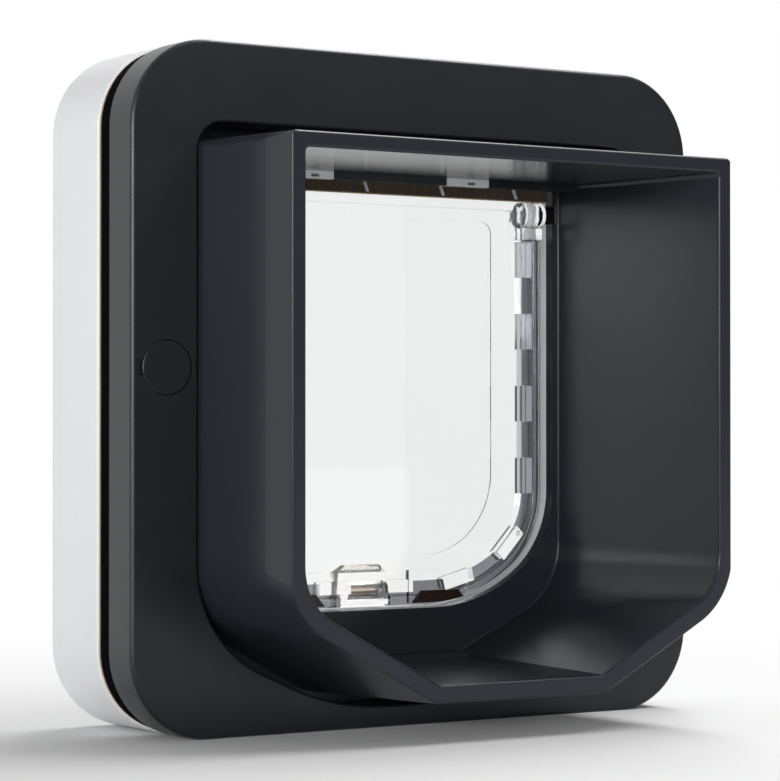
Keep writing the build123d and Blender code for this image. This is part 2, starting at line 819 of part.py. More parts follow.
# Seal strips, one each side of the pocket: a grooved bulb at the flap's edge and a web between the tabs
strip_reach = 4 * doorway_half
for side in sides:
    with BuildPart() as flap_seal:
        with BuildSketch(upright(flap_axis_y + strip_bulb / 2)):
            gate(*doorway_gate, grow=-flap_gap)
            gate(*doorway_gate, grow=-flap_gap - strip_bulb_width, mode=Mode.SUBTRACT)
            with Locations((0, strip_top + strip_reach / 2)):
                Rectangle(strip_reach, strip_reach, mode=Mode.SUBTRACT)
            with Locations((side * (pocket_half + strip_pocket_gap - strip_reach / 2), 0)):
                Rectangle(strip_reach, strip_reach, mode=Mode.SUBTRACT)
        extrude(amount=strip_bulb)
        rims = [edge for edge in flap_seal.edges() if edge.length > strip_bulb + strip_gap]
        fillet(rims, strip_bulb_round)
        with BuildSketch(upright(flap_axis_y - strip_bulb / 2 + strip_groove_depth)):
            gate(*doorway_gate, grow=-flap_gap - strip_groove_inset)
            gate(*doorway_gate, grow=-flap_gap - strip_groove_inset - strip_groove_width, mode=Mode.SUBTRACT)
        extrude(amount=strip_groove_depth, mode=Mode.SUBTRACT)
        with BuildSketch(upright(flap_axis_y + strip_web / 2)):
            gate(*doorway_gate, grow=-flap_gap - strip_bulb_width / 2)
            gate(*doorway_gate, grow=-flap_gap - strip_width + strip_gap, mode=Mode.SUBTRACT)
            with Locations((0, strip_top + strip_reach / 2)):
                Rectangle(strip_reach, strip_reach, mode=Mode.SUBTRACT)
            with Locations((side * (pocket_half + strip_pocket_gap - strip_reach / 2), 0)):
                Rectangle(strip_reach, strip_reach, mode=Mode.SUBTRACT)
        extrude(amount=strip_web)
        with Locations(*tab_planes):
            Box(tab_length + 2 * tab_gap, tab_width + 2 * tab_gap, flap_thickness, mode=Mode.SUBTRACT)
    save(flap_seal, f"flap_seal_{side_names[side]}")

with BuildPart() as flap_magnet:
    rod_x(-magnet_length / 2, magnet_length / 2, magnet_y, magnet_z, magnet_radius)
save(flap_magnet, "flap_magnet")

with BuildPart() as magnet_plug:
    rod_x(magnet_length / 2 + magnet_gap, pocket_half, magnet_y, magnet_z, magnet_radius)
save(magnet_plug, "magnet_plug")

# Catch plates on the lugs, wider at the bottom
for side in sides:
    with BuildPart() as catch_plate:
        with BuildSketch(upright(catch_back)):
            with BuildLine():
                Polyline(
                    (side * catch_x - catch_bottom_half, catch_bottom),
                    (side * catch_x + catch_bottom_half, catch_bottom),
                    (side * catch_x + catch_top_half, catch_bottom + catch_height),
                    (side * catch_x - catch_top_half, catch_bottom + catch_height),
                    close=True,
                )
            make_face()
            gate(*doorway_gate, grow=-2 * flap_gap, mode=Mode.INTERSECT)
        extrude(amount=catch_thickness)
    save(catch_plate, f"catch_plate_{side_names[side]}")

# Latches: a finger in the sill, a foot and the plunger that the solenoid drives
for name, side, finger_y in (("exit", -1, finger_exit_y), ("entry", 1, finger_entry_y)):
    latch_x = side * catch_x
    with BuildPart() as latch:
        block(
            (latch_x - finger_width / 2, finger_y - finger_thickness / 2, foot_top - foot_thickness),
            (latch_x + finger_width / 2, finger_y + finger_thickness / 2, finger_top),
        )
        fillet(latch.edges().filter_by(Axis.X).group_by(Axis.Z)[-1], finger_thickness / 4)
        block(
            (latch_x - foot_half, finger_y - finger_thickness / 2, foot_top - foot_thickness),
            (latch_x + foot_half, solenoid_y + foot_half, foot_top),
        )
        plunger_top = foot_top - foot_thickness
        with Locations((latch_x, solenoid_y, plunger_top - plunger_length / 2)):
            Cylinder(plunger_radius, plunger_length)
    save(latch, f"{name}_latch")
    with BuildPart() as solenoid:
        block(
            (latch_x - solenoid_width / 2, solenoid_y - solenoid_depth / 2, solenoid_bottom),
            (latch_x + solenoid_width / 2, solenoid_y + solenoid_depth / 2, solenoid_bottom + solenoid_height),
        )
        chamfer(solenoid.edges().filter_by(Axis.Z), solenoid_edge)
        bore_bottom = plunger_top - plunger_length - plunger_gap
        bore_top = solenoid_bottom + solenoid_height
        with Locations((latch_x, solenoid_y, (bore_bottom + bore_top) / 2)):
            Cylinder(plunger_radius + plunger_gap, bore_top - bore_bottom, mode=Mode.SUBTRACT)
    save(solenoid, f"{name}_solenoid")

with BuildPart() as sill_magnet:
    bar_wide, bar_deep, bar_tall = sill_magnet_size
    block(
        (-bar_wide / 2, flap_axis_y - bar_deep / 2, sill_under - bar_tall),
        (bar_wide / 2, flap_axis_y + bar_deep / 2, sill_under),
    )
save(sill_magnet, "sill_magnet")

# Reader winding round the tunnel, behind the flange
with BuildPart() as antenna_coil:
    with BuildSketch(upright(coil_front + coil_length)):
        gate(*base_gate, grow=coil_build)
        gate(*base_gate, mode=Mode.SUBTRACT)
    extrude(amount=coil_length)
save(antenna_coil, "antenna_coil")

# Indoor housing: white shell with a flared opening, bosses, board posts and the lids' cut-outs
with BuildPart() as indoor_housing:
    with BuildSketch(upright(housing_back)):
        rounded_square(0)
    extrude(amount=housing_depth)
    fillet(indoor_housing.faces().sort_by(Axis.Y)[-1].edges(), housing_back_round)
    fillet(indoor_housing.faces().sort_by(Axis.Y)[0].edges(), housing_front_round)
    with BuildSketch(upright(housing_inside)):
        rounded_square(housing_wall)
    extrude(amount=housing_inside - housing_front, mode=Mode.SUBTRACT)
    for side in sides:
        for level in sides:
            at_x = side * housing_screw_at
            at_z = level * housing_screw_at
            rod_y(at_x, at_z, housing_boss_radius, flange_back, housing_inside)
    with BuildSketch(upright(collar_back)):
        gate(*bezel_front_gate, grow=bezel_wall)
    with BuildSketch(upright(housing_inside)):
        gate(*bezel_back_gate, grow=bezel_wall)
    loft(ruled=True)
    with BuildSketch(upright(collar_back)):
        gate(*bezel_front_gate)
    with BuildSketch(upright(housing_back)):
        gate(*bezel_back_gate)
    loft(ruled=True, mode=Mode.SUBTRACT)
    for side in sides:
        for level in sides:
            at_x = side * housing_screw_at
            at_z = level * housing_screw_at
            screw_end = housing_front + housing_screw_head_height + housing_screw_length
            rod_y(at_x, at_z, housing_screw_radius, flange_back, screw_end, Mode.SUBTRACT)
        lid_near = side * lid_inner_x
        lid_far = side * lid_outer_x
        block(
            (min(lid_near, lid_far), lid_front, lid_bottom),
            (max(lid_near, lid_far), housing_back, half_outline),
            Mode.SUBTRACT,
        )
        for post_z in (board_bottom + post_inset, board_bottom + board_height - post_inset):
            rod_y(side * post_x, post_z, post_radius, board_back, housing_inside)
            screw_end = board_front + post_screw_length
            rod_y(side * post_x, post_z, post_screw_radius, board_back, screw_end, Mode.SUBTRACT)
        rod_y(side * button_x, control_z, button_radius + button_gap, housing_inside, housing_back, Mode.SUBTRACT)
    rod_y(0, control_z, lens_radius + lens_gap, housing_inside, housing_back, Mode.SUBTRACT)
save(indoor_housing, "indoor_housing")

# Screws that hold the shell to the flange, one group
with BuildPart() as housing_screws:
    for side in sides:
        for level in sides:
            at_x = side * housing_screw_at
            at_z = level * housing_screw_at
            head_seat = housing_front + housing_screw_head_height
            rod_y(at_x, at_z, housing_screw_head_radius, housing_front, head_seat)
            rod_y(at_x, at_z, housing_screw_radius, head_seat, head_seat + housing_screw_length)
save(housing_screws, "housing_screws")

# Battery lids: the pieces of the shell that fill its two cut-outs
for side in sides:
    with BuildPart() as battery_cover:
        with BuildSketch(upright(housing_back)):
            rounded_square(0)
        extrude(amount=housing_depth)
        fillet(battery_cover.faces().sort_by(Axis.Y)[-1].edges(), housing_back_round)
        with BuildSketch(upright(housing_inside)):
            rounded_square(housing_wall)
        extrude(amount=housing_inside - housing_front, mode=Mode.SUBTRACT)
        lid_near = side * (lid_inner_x + lid_gap)
        lid_far = side * (lid_outer_x - lid_gap)
        block(
            (min(lid_near, lid_far), lid_front + lid_gap, lid_bottom + lid_gap),
            (max(lid_near, lid_far), housing_back, half_outline),
            Mode.INTERSECT,
        )
        grip_wide, grip_deep, grip_tall = lid_grip
        grip_x = side * (lid_inner_x + lid_outer_x) / 2
        block(
            (grip_x - grip_wide / 2, housing_back - grip_deep, lid_bottom),
            (grip_x + grip_wide / 2, housing_back, lid_bottom + grip_tall),
            Mode.SUBTRACT,
        )
    save(battery_cover, f"battery_cover_{side_names[side]}")

# Battery trays, contacts and cells, two cells one above the other on each side
for side in sides:
    tray_low_x = min(side * tray_inner_x, side * tray_outer_x)
    tray_high_x = max(side * tray_inner_x, side * tray_outer_x)
    with BuildPart() as battery_tray:
        block((tray_low_x, tray_front, tray_floor), (tray_high_x, tray_back, tray_top))
        block(
            (tray_low_x + tray_wall, tray_front + tray_wall, tray_floor + tray_wall),
            (tray_high_x - tray_wall, tray_back, tray_top - tray_wall),
            Mode.SUBTRACT,
        )
    save(battery_tray, f"battery_tray_{side_names[side]}")
    cell_from = tray_low_x + tray_wall + contact_thickness
    lower_z = tray_floor + tray_wall + battery_gap + battery_radius
    cell_levels = (lower_z, lower_z + 2 * battery_radius + battery_gap)
    with BuildPart() as battery_contacts:
        for level_z in cell_levels:
            for plate_from in (tray_low_x + tray_wall, tray_high_x - tray_wall - contact_thickness):
                block(
                    (plate_from, battery_y - contact_width / 2, level_z - contact_width / 2),
                    (plate_from + contact_thickness, battery_y + contact_width / 2, level_z + contact_width / 2),
                )
    save(battery_contacts, f"battery_contacts_{side_names[side]}")
    for row, level_z in enumerate(cell_levels):
        number = row + 1 if side < 0 else row + 3
        with BuildPart() as battery:
            body_from = cell_from if row == 0 else cell_from + battery_tip_height
            tip_from = cell_from + battery_length if row == 0 else cell_from
            rod_x(body_from, body_from + battery_length, battery_y, level_z, battery_radius)
            fillet(battery.edges(), battery_edge_round)
            rod_x(tip_from, tip_from + battery_tip_height, battery_y, level_z, battery_tip_radius)
        save(battery, f"battery_{number}")

# Circuit board and what is soldered to it
with BuildPart() as circuit_board:
    block((-board_half, board_front, board_bottom), (board_half, board_back, board_bottom + board_height))
    for side in sides:
        for post_z in (board_bottom + post_inset, board_bottom + board_height - post_inset):
            hole_radius = post_screw_radius + screw_clearance
            rod_y(side * post_x, post_z, hole_radius, board_front, board_back, Mode.SUBTRACT)
save(circuit_board, "circuit_board")

with BuildPart() as board_screws:
    for side in sides:
        for post_z in (board_bottom + post_inset, board_bottom + board_height - post_inset):
            head_front = board_front - post_screw_head_height
            rod_y(side * post_x, post_z, post_screw_head_radius, head_front, board_front)
            rod_y(side * post_x, post_z, post_screw_radius, board_front, board_front + post_screw_length)
save(board_screws, "board_screws")

with BuildPart() as control_chip:
    block(
        (-chip_size / 2, board_front - chip_height, board_centre_z - chip_size / 2),
        (chip_size / 2, board_front, board_centre_z + chip_size / 2),
    )
save(control_chip, "control_chip")

with BuildPart() as board_capacitors:
    for side in sides:
        rod_y(side * capacitor_x, capacitor_z, capacitor_radius, board_front - capacitor_height, board_front)
save(board_capacitors, "board_capacitors")

with BuildPart() as tact_switches:
    for side in sides:
        block(
            (side * button_x - switch_size / 2, board_back, control_z - switch_size / 2),
            (side * button_x + switch_size / 2, board_back + switch_height, control_z + switch_size / 2),
        )
        switch_top = board_back + switch_height
        rod_y(side * button_x, control_z, switch_plunger_radius, switch_top, switch_top + switch_plunger_height)
save(tact_switches, "tact_switches")

with BuildPart() as indicator_led:
    led_wide, led_deep, led_tall = led_size
    block(
        (-led_wide / 2, board_back, control_z - led_tall / 2),
        (led_wide / 2, board_back + led_deep, control_z + led_tall / 2),
    )
save(indicator_led, "indicator_led")

with BuildPart() as indicator_lens:
    rod_y(0, control_z, lens_radius, board_back + led_deep, housing_back + lens_proud)
save(indicator_lens, "indicator_lens")

# Push buttons: a cap through the shell, a flange behind it and a stem over the switch
for name, side in (("learn", -1), ("settings", 1)):
    with BuildPart() as button:
        flange_top = housing_inside - button_flange_gap
        flange_under = flange_top - button_flange_thickness
        rod_y(side * button_x, control_z, button_radius, flange_top, housing_back + button_proud)
        fillet(button.faces().sort_by(Axis.Y)[-1].edges(), button_proud / 2)
        rod_y(side * button_x, control_z, button_flange_radius, flange_under, flange_top)
        stem_end = board_back + switch_height + switch_plunger_height + button_travel + button_flange_gap
        rod_y(side * button_x, control_z, button_stem_radius, stem_end, flange_under)
    save(button, f"{name}_button")
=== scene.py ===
import json
import math
import random

import bmesh
import bpy
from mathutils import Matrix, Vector


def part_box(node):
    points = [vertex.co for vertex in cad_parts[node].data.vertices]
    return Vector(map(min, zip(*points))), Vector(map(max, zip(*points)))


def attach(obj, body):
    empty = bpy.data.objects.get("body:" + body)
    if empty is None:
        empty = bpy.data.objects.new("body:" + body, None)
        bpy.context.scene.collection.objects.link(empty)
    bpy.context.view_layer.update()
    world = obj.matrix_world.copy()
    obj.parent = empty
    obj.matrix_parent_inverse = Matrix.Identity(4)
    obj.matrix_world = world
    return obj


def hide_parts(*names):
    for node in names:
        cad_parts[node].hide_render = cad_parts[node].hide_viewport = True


# Cat flap for a door: the CAD pieces get their finishes here, the brush gets its bristles,
# and a pale floor, soft light and the photo's camera are set round it. Lengths are in metres.

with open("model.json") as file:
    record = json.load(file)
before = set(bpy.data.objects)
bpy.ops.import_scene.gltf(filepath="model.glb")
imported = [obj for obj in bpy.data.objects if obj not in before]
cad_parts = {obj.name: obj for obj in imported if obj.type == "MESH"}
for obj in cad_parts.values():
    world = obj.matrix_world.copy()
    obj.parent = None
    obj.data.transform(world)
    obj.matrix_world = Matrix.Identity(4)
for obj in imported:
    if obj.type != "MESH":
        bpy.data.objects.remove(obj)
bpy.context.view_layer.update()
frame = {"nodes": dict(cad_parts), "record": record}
nodes = frame["nodes"]
random.seed(11)
print("frame loaded:", len(nodes), "nodes")


# Small helpers for building finishes

def srgb(red, green, blue):
    def straight(value):
        value = value / 255
        return value / 12.92 if value <= 0.04045 else ((value + 0.055) / 1.055) ** 2.4
    return (straight(red), straight(green), straight(blue), 1.0)


def shade(colour, factor):
    return tuple(channel * factor for channel in colour[:3]) + (1.0,)


def feed(tree, inputs, values):
    # A plain number or colour is set on its socket, and anything else is linked to it
    for name, value in values.items():
        if isinstance(value, (float, tuple)):
            inputs[name].default_value = value
        else:
            tree.links.new(value, inputs[name])


def addNode(tree, kind, values, operation=None):
    node = tree.nodes.new(kind)
    if operation:
        node.operation = operation
    feed(tree, node.inputs, values)
    return node


def newFinish(name):
    finish = bpy.data.materials.new(name)
    finish.use_nodes = True
    tree = finish.node_tree
    coords = addNode(tree, "ShaderNodeTexCoord", {})
    return finish, tree, tree.nodes["Principled BSDF"], coords.outputs["Object"]


def addNoise(tree, coords, scale, detail=3.0, roughness=0.55, stretch=None):
    if stretch:
        mapping = addNode(tree, "ShaderNodeMapping", {"Vector": coords, "Scale": stretch})
        coords = mapping.outputs["Vector"]
    noise = addNode(tree, "ShaderNodeTexNoise", {
        "Vector": coords, "Scale": scale, "Detail": detail, "Roughness": roughness})
    return noise.outputs["Fac"]


def addRamp(tree, value, stops):
    ramp = addNode(tree, "ShaderNodeValToRGB", {"Fac": value})
    band = ramp.color_ramp
    band.elements[0].position, band.elements[0].color = stops[0]
    band.elements[1].position, band.elements[1].color = stops[-1]
    for place, colour in stops[1:-1]:
        band.elements.new(place).color = colour
    return ramp.outputs["Color"]


def addMottle(tree, value, colour, low, high, start=0.3, stop=0.7):
    return addRamp(tree, value, [(start, shade(colour, low)), (stop, shade(colour, high))])


def addRange(tree, value, low, high, fromLow=0.3, fromHigh=0.7):
    span = addNode(tree, "ShaderNodeMapRange", {
        "Value": value, "From Min": fromLow, "From Max": fromHigh, "To Min": low, "To Max": high})
    return span.outputs["Result"]


def addBump(tree, shader, height, strength, depth, before=None):
    bump = addNode(tree, "ShaderNodeBump", {
        "Height": height, "Strength": strength, "Distance": depth})
    if before:
        feed(tree, bump.inputs, {"Normal": before})
    feed(tree, shader.inputs, {"Normal": bump.outputs["Normal"]})
    return bump.outputs["Normal"]


def splitAxis(tree, coords, axis):
    return addNode(tree, "ShaderNodeSeparateXYZ", {"Vector": coords}).outputs[axis]


def addMix(tree, amount, first, second):
    blend = addNode(tree, "ShaderNodeMixRGB", {"Fac": amount, "Color1": first, "Color2": second})
    return blend.outputs["Color"]


def addMath(tree, operation, first, second):
    return addNode(tree, "ShaderNodeMath", {0: first, 1: second}, operation).outputs["Value"]


def addInside(tree, value, low, high, soft):
    rising = addRange(tree, value, 0.0, 1.0, low - soft, low + soft)
    falling = addRange(tree, value, 1.0, 0.0, high - soft, high + soft)
    return addMath(tree, "MULTIPLY", rising, falling)


# Moulded plastic: faint mottling, a fine texture and an uneven sheen

plasticBase = {"mottleScale": 24.0, "sheenScale": 60.0, "sheenTint": (1.0, 1.0, 1.0, 1.0),
               "specular": 0.5, "ior": 1.49}
plasticLooks = {
    "dark_plastic": {"colour": srgb(20, 24, 27), "roughness": (0.28, 0.33), "spread": 0.08,
                     "grainScale": 2600.0, "grain": 0.08, "grainDepth": 0.00010,
                     "specular": 0.47, "sheenTint": (0.90, 0.96, 1.0, 1.0)},
    "tunnel_plastic": {"colour": srgb(37, 41, 46), "roughness": (0.20, 0.23), "spread": 0.05,
                       "grainScale": 2600.0, "grain": 0.03, "grainDepth": 0.00006,
                       "specular": 0.22, "mottleScale": 14.0, "sheenScale": 18.0},
    "white_plastic": {"colour": srgb(226, 228, 229), "roughness": (0.30, 0.40), "spread": 0.015,
                      "grainScale": 2200.0, "grain": 0.07, "grainDepth": 0.00010},
    "grey_plastic": {"colour": srgb(120, 122, 124), "roughness": (0.40, 0.52), "spread": 0.08,
                     "grainScale": 1800.0, "grain": 0.10, "grainDepth": 0.00012},
    "black_plastic": {"colour": srgb(15, 15, 17), "roughness": (0.36, 0.48), "spread": 0.15,
                      "grainScale": 2000.0, "grain": 0.08, "grainDepth": 0.00010},
    "catch_plastic": {"colour": srgb(44, 30, 22), "roughness": (0.22, 0.34), "spread": 0.20,
                      "grainScale": 1600.0, "grain": 0.08, "grainDepth": 0.00010,
                      "mottleScale": 90.0},
    "button_plastic": {"colour": srgb(196, 198, 200), "roughness": (0.34, 0.46), "spread": 0.03,
                       "grainScale": 2400.0, "grain": 0.09, "grainDepth": 0.00010},
}


def mouldedPlastic(name, look):
    look = {**plasticBase, **look}
    finish, tree, shader, coords = newFinish(name)
    mottle = addNoise(tree, coords, look["mottleScale"], detail=4.0)
    sheen = addNoise(tree, coords, look["sheenScale"], detail=5.0)
    grain = addNoise(tree, coords, look["grainScale"], detail=2.0, roughness=0.6)
    darker, paler = 1 - look["spread"], 1 + look["spread"]
    tint = addMottle(tree, mottle, look["colour"], darker, paler, start=0.25, stop=0.75)
    feed(tree, shader.inputs, {
        "Base Color": tint,
        "Roughness": addRange(tree, sheen, *look["roughness"]),
        "IOR": look["ior"],
        "Specular IOR Level": look["specular"],
        "Specular Tint": look["sheenTint"],
    })
    addBump(tree, shader, grain, look["grain"], look["grainDepth"])
    return finish


finishes = {slotName: mouldedPlastic(slotName, look) for slotName, look in plasticLooks.items()}
print("moulded plastics:", len(finishes))


# Foam rings: closed cells, turning tan from a set depth behind the door plane, towards the white
# shell

foamLook = {
    "colour": srgb(8, 7, 8),
    "mottleScale": 300.0,
    "spread": 0.3,
    "tanBand": srgb(150, 122, 92),
    "tanBandFrom": 0.0024,  # how far behind the door plane the tan band starts
    "tanBandEdge": 0.0001,
    "cellScale": 1500.0,
    "cellBump": 0.5,
    "cellDepth": 0.0003,
    "roughness": 0.92,
    "specular": 0.02,
}


def foamFinish(name, look):
    finish, tree, shader, coords = newFinish(name)
    cells = addNode(tree, "ShaderNodeTexVoronoi", {"Vector": coords, "Scale": look["cellScale"]})
    mottle = addNoise(tree, coords, look["mottleScale"])
    dark = addMottle(tree, mottle, look["colour"], 1 - look["spread"], 1 + look["spread"])
    tanBandStart = look["tanBandFrom"]
    layer = addRange(tree, splitAxis(tree, coords, "Y"), 0.0, 1.0,
                     tanBandStart, tanBandStart + look["tanBandEdge"])
    feed(tree, shader.inputs, {
        "Base Color": addMix(tree, layer, dark, look["tanBand"]),
        "Roughness": look["roughness"],
        "Specular IOR Level": look["specular"],
    })
    addBump(tree, shader, cells.outputs["Distance"], look["cellBump"], look["cellDepth"])
    return finish


finishes["black_foam"] = foamFinish("black_foam", foamLook)


# Metals: turned or plated, with fine scratches and a little staining

metalBase = {"stainScale": 140.0, "stain": (0.82, 1.06), "scratch": 0.15, "scratchDepth": 0.00008}
metalLooks = {
    "plated_steel": {"colour": srgb(196, 198, 200), "roughness": (0.18, 0.36),
                     "scratchScale": 900.0, "stretch": (1.0, 0.15, 1.0)},
    "brass": {"colour": srgb(206, 172, 104), "roughness": (0.20, 0.38),
              "scratchScale": 800.0, "stretch": (1.0, 0.2, 1.0)},
    "solenoid_steel": {"colour": srgb(168, 170, 172), "roughness": (0.30, 0.50),
                       "scratchScale": 600.0, "stretch": (1.0, 1.0, 0.2)},
    "magnet": {"colour": srgb(204, 190, 174), "roughness": (0.24, 0.38),
               "scratchScale": 1200.0, "stretch": (0.2, 1.0, 1.0)},
}


def metalFinish(name, look):
    look = {**metalBase, **look}
    finish, tree, shader, coords = newFinish(name)
    stain = addNoise(tree, coords, look["stainScale"], detail=4.0)
    scratches = addNoise(tree, coords, look["scratchScale"], roughness=0.6, stretch=look["stretch"])
    feed(tree, shader.inputs, {
        "Base Color": addMottle(tree, stain, look["colour"], *look["stain"]),
        "Metallic": 1.0,
        "Roughness": addRange(tree, scratches, *look["roughness"]),
    })
    addBump(tree, shader, scratches, look["scratch"], look["scratchDepth"])
    return finish


for slotName, look in metalLooks.items():
    finishes[slotName] = metalFinish(slotName, look)
print("metals:", len(metalLooks))


# Clear mouldings: the flap, its soft seals, the lip windows and the lamp lens

# Parts of the flap that are more frosted or more broken up than the rest; the grey of the tabbed
# edge is painted shade, standing for the dark surroundings seen through the seal
shadedTabbedEdge = {"mirrored": True, "across": (0.0622, 0.0800), "heights": (-0.0800, 0.0520),
              "soft": 0.0003, "colour": srgb(150, 152, 158), "frost": 0.03}
hingeEnds = {"mirrored": True, "across": (0.0575, 0.0800), "heights": (0.0522, 0.0800),
             "soft": 0.0006, "colour": srgb(244, 245, 246), "frost": 0.16, "facets": 420.0}
magnetPocket = {"mirrored": True, "across": (-0.0010, 0.0145), "heights": (-0.0705, -0.0560),
                "soft": 0.0004, "colour": srgb(246, 246, 244), "frost": 0.12}
clearBase = {"hazeScale": 30.0, "haze": 0.985, "smearScale": 45.0, "flowScale": 70.0,
             "flowDepth": 0.0002, "facetBump": 0.5, "facetDepth": 0.0007, "patches": []}
clearLooks = {
    "clear_plastic": {"colour": srgb(243, 245, 244), "roughness": (0.0, 0.03), "clear": 1.0,
                      "ior": 1.49, "flow": 0.02, "patches": [shadedTabbedEdge, hingeEnds, magnetPocket]},
    # the seal's grey colour is painted shade: the dark surroundings seen through the clear seal
    "clear_seal": {"colour": srgb(142, 144, 150), "roughness": (0.06, 0.14), "clear": 0.92,
                   "ior": 1.43, "flow": 0.10},
    "window_plastic": {"colour": srgb(240, 241, 242), "roughness": (0.18, 0.30), "clear": 0.10,
                       "ior": 1.49, "flow": 0.08},
    "lamp_lens": {"colour": srgb(236, 238, 236), "roughness": (0.08, 0.20), "clear": 0.8,
                  "ior": 1.49, "flow": 0.05},
}


def patchArea(tree, coords, patch):
    across = splitAxis(tree, coords, "X")
    if patch["mirrored"]:
        across = addMath(tree, "ABSOLUTE", across, 0.0)
    inside = addInside(tree, across, *patch["across"], patch["soft"])
    level = addInside(tree, splitAxis(tree, coords, "Z"), *patch["heights"], patch["soft"])
    return addMath(tree, "MULTIPLY", inside, level)


def clearFinish(name, look):
    look = {**clearBase, **look}
    finish, tree, shader, coords = newFinish(name)
    haze = addNoise(tree, coords, look["hazeScale"], detail=4.0)
    smear = addNoise(tree, coords, look["smearScale"], detail=5.0)
    flow = addNoise(tree, coords, look["flowScale"], detail=1.0, roughness=0.5)
    tint = addMottle(tree, haze, look["colour"], look["haze"], 1.0, start=0.2, stop=0.8)
    gloss = addRange(tree, smear, *look["roughness"])
    bumps = addBump(tree, shader, flow, look["flow"], look["flowDepth"])
    for patch in look["patches"]:
        inside = patchArea(tree, coords, patch)
        # on the tabbed edge the patch colour laid over the tint is painted shade
        tint = addMix(tree, inside, tint, patch["colour"])
        gloss = addMath(tree, "MAXIMUM", gloss, addMath(tree, "MULTIPLY", inside, patch["frost"]))
        if "facets" in patch:
            facets = addNoise(tree, coords, patch["facets"], detail=1.0)
            facets = addMath(tree, "MULTIPLY", facets, inside)
            bumps = addBump(tree, shader, facets, look["facetBump"], look["facetDepth"], bumps)
    feed(tree, shader.inputs, {
        "Base Color": tint,
        "Roughness": gloss,
        "Transmission Weight": look["clear"],
        "IOR": look["ior"],
    })
    return finish


for slotName, look in clearLooks.items():
    finishes[slotName] = clearFinish(slotName, look)

# Each lip window shows the dark eye of the sensor behind it; the brush clips are milky
eye = {
    "across": 0.58,  # these four are shares of the window's width and height
    "down": 0.62,
    "halfWidth": 0.0875,
    "halfHeight": 0.18,
    "soft": 0.0002,
    "colour": srgb(96, 96, 98),
    "frost": 0.1,
}
windowNames = ("sensor_window_left", "sensor_window_right")
ownFinishes = {"brush_clips": finishes["window_plastic"]}
for windowName in windowNames:
    low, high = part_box(windowName)
    width, height = high.x - low.x, high.z - low.z
    eyeX = low.x + eye["across"] * width
    eyeZ = high.z - eye["down"] * height
    reachX, reachZ = eye["halfWidth"] * width, eye["halfHeight"] * height
    patch = {"mirrored": False, "across": (eyeX - reachX, eyeX + reachX),
             "heights": (eyeZ - reachZ, eyeZ + reachZ),
             "soft": eye["soft"], "colour": eye["colour"], "frost": eye["frost"]}
    windowLook = {**clearLooks["window_plastic"], "patches": [patch]}
    ownFinishes[windowName] = clearFinish(windowName, windowLook)
print("clear finishes:", len(clearLooks) + len(windowNames))


# Copper winding: turns of enamelled wire side by side, with painted shade in the grooves between
# turns

windingLook = {
    "colour": srgb(150, 82, 42),
    # the darker colour in the grooves between turns is painted shade
    "dark": srgb(70, 34, 18),
    "wireScale": 366.66666,
    "waver": 0.3,
    "metallic": 0.6,
    "roughness": 0.34,
    "bump": 0.6,
    "bumpDepth": 0.0002,
}


def windingFinish(name, look):
    finish, tree, shader, coords = newFinish(name)
    wires = addNode(tree, "ShaderNodeTexWave", {
        "Vector": coords, "Scale": look["wireScale"], "Distortion": look["waver"]})
    wires.wave_type = "BANDS"
    wires.bands_direction = "Y"
    tint = addRamp(tree, wires.outputs["Fac"], [(0.1, look["dark"]), (0.7, look["colour"])])
    feed(tree, shader.inputs, {
        "Base Color": tint,
        "Metallic": look["metallic"],
        "Roughness": look["roughness"],
    })
    addBump(tree, shader, wires.outputs["Fac"], look["bump"], look["bumpDepth"])
    return finish


finishes["copper_winding"] = windingFinish("copper_winding", windingLook)


# Circuit board: solder mask with copper tracks just under it

boardLook = {
    "mask": srgb(24, 74, 46),
    "maskSpread": 1.2,
    "track": srgb(58, 120, 72),
    "trackScale": 260.0,
    "trackWidth": 0.06,
    "trackBump": 0.3,
    "trackDepth": 0.00008,
    "sheenScale": 200.0,
    "roughness": (0.30, 0.46),
}


def boardFinish(name, look):
    finish, tree, shader, coords = newFinish(name)
    upright = addNode(tree, "ShaderNodeMapping", {
        "Vector": coords, "Rotation": (math.pi / 2, 0.0, 0.0)})
    tracks = addNode(tree, "ShaderNodeTexBrick", {
        "Vector": upright.outputs["Vector"],
        "Scale": look["trackScale"],
        "Mortar Size": look["trackWidth"],
        "Color1": look["mask"],
        "Color2": shade(look["mask"], look["maskSpread"]),
        "Mortar": look["track"],
    })
    sheen = addNoise(tree, coords, look["sheenScale"], detail=4.0)
    feed(tree, shader.inputs, {
        "Base Color": tracks.outputs["Color"],
        "Roughness": addRange(tree, sheen, *look["roughness"]),
    })
    addBump(tree, shader, tracks.outputs["Fac"], look["trackBump"], look["trackDepth"])
    return finish


finishes["board"] = boardFinish("board", boardLook)


# Battery cells: a plain dark sleeve, scuffed pale in places

cellLook = {
    "sleeve": srgb(32, 34, 38),
    "sleeveShade": 0.8,
    "scuff": srgb(176, 178, 180),
    "scuffScale": 220.0,
    "scuffStretch": (1.0, 3.0, 3.0),
    "scuffBump": 0.06,
    "scuffDepth": 0.0001,
    "roughness": (0.22, 0.42),
}


def cellFinish(name, look):
    finish, tree, shader, coords = newFinish(name)
    scuff = addNoise(tree, coords, look["scuffScale"], 4.0, 0.6, look["scuffStretch"])
    sleeve = look["sleeve"]
    stops = [(0.3, shade(sleeve, look["sleeveShade"])), (0.62, sleeve), (0.85, look["scuff"])]
    feed(tree, shader.inputs, {
        "Base Color": addRamp(tree, scuff, stops),
        "Roughness": addRange(tree, scuff, *look["roughness"]),
    })
    addBump(tree, shader, scuff, look["scuffBump"], look["scuffDepth"])
    return finish


finishes["cell_jacket"] = cellFinish("cell_jacket", cellLook)


# Bristles: brown pile, paler at the tips

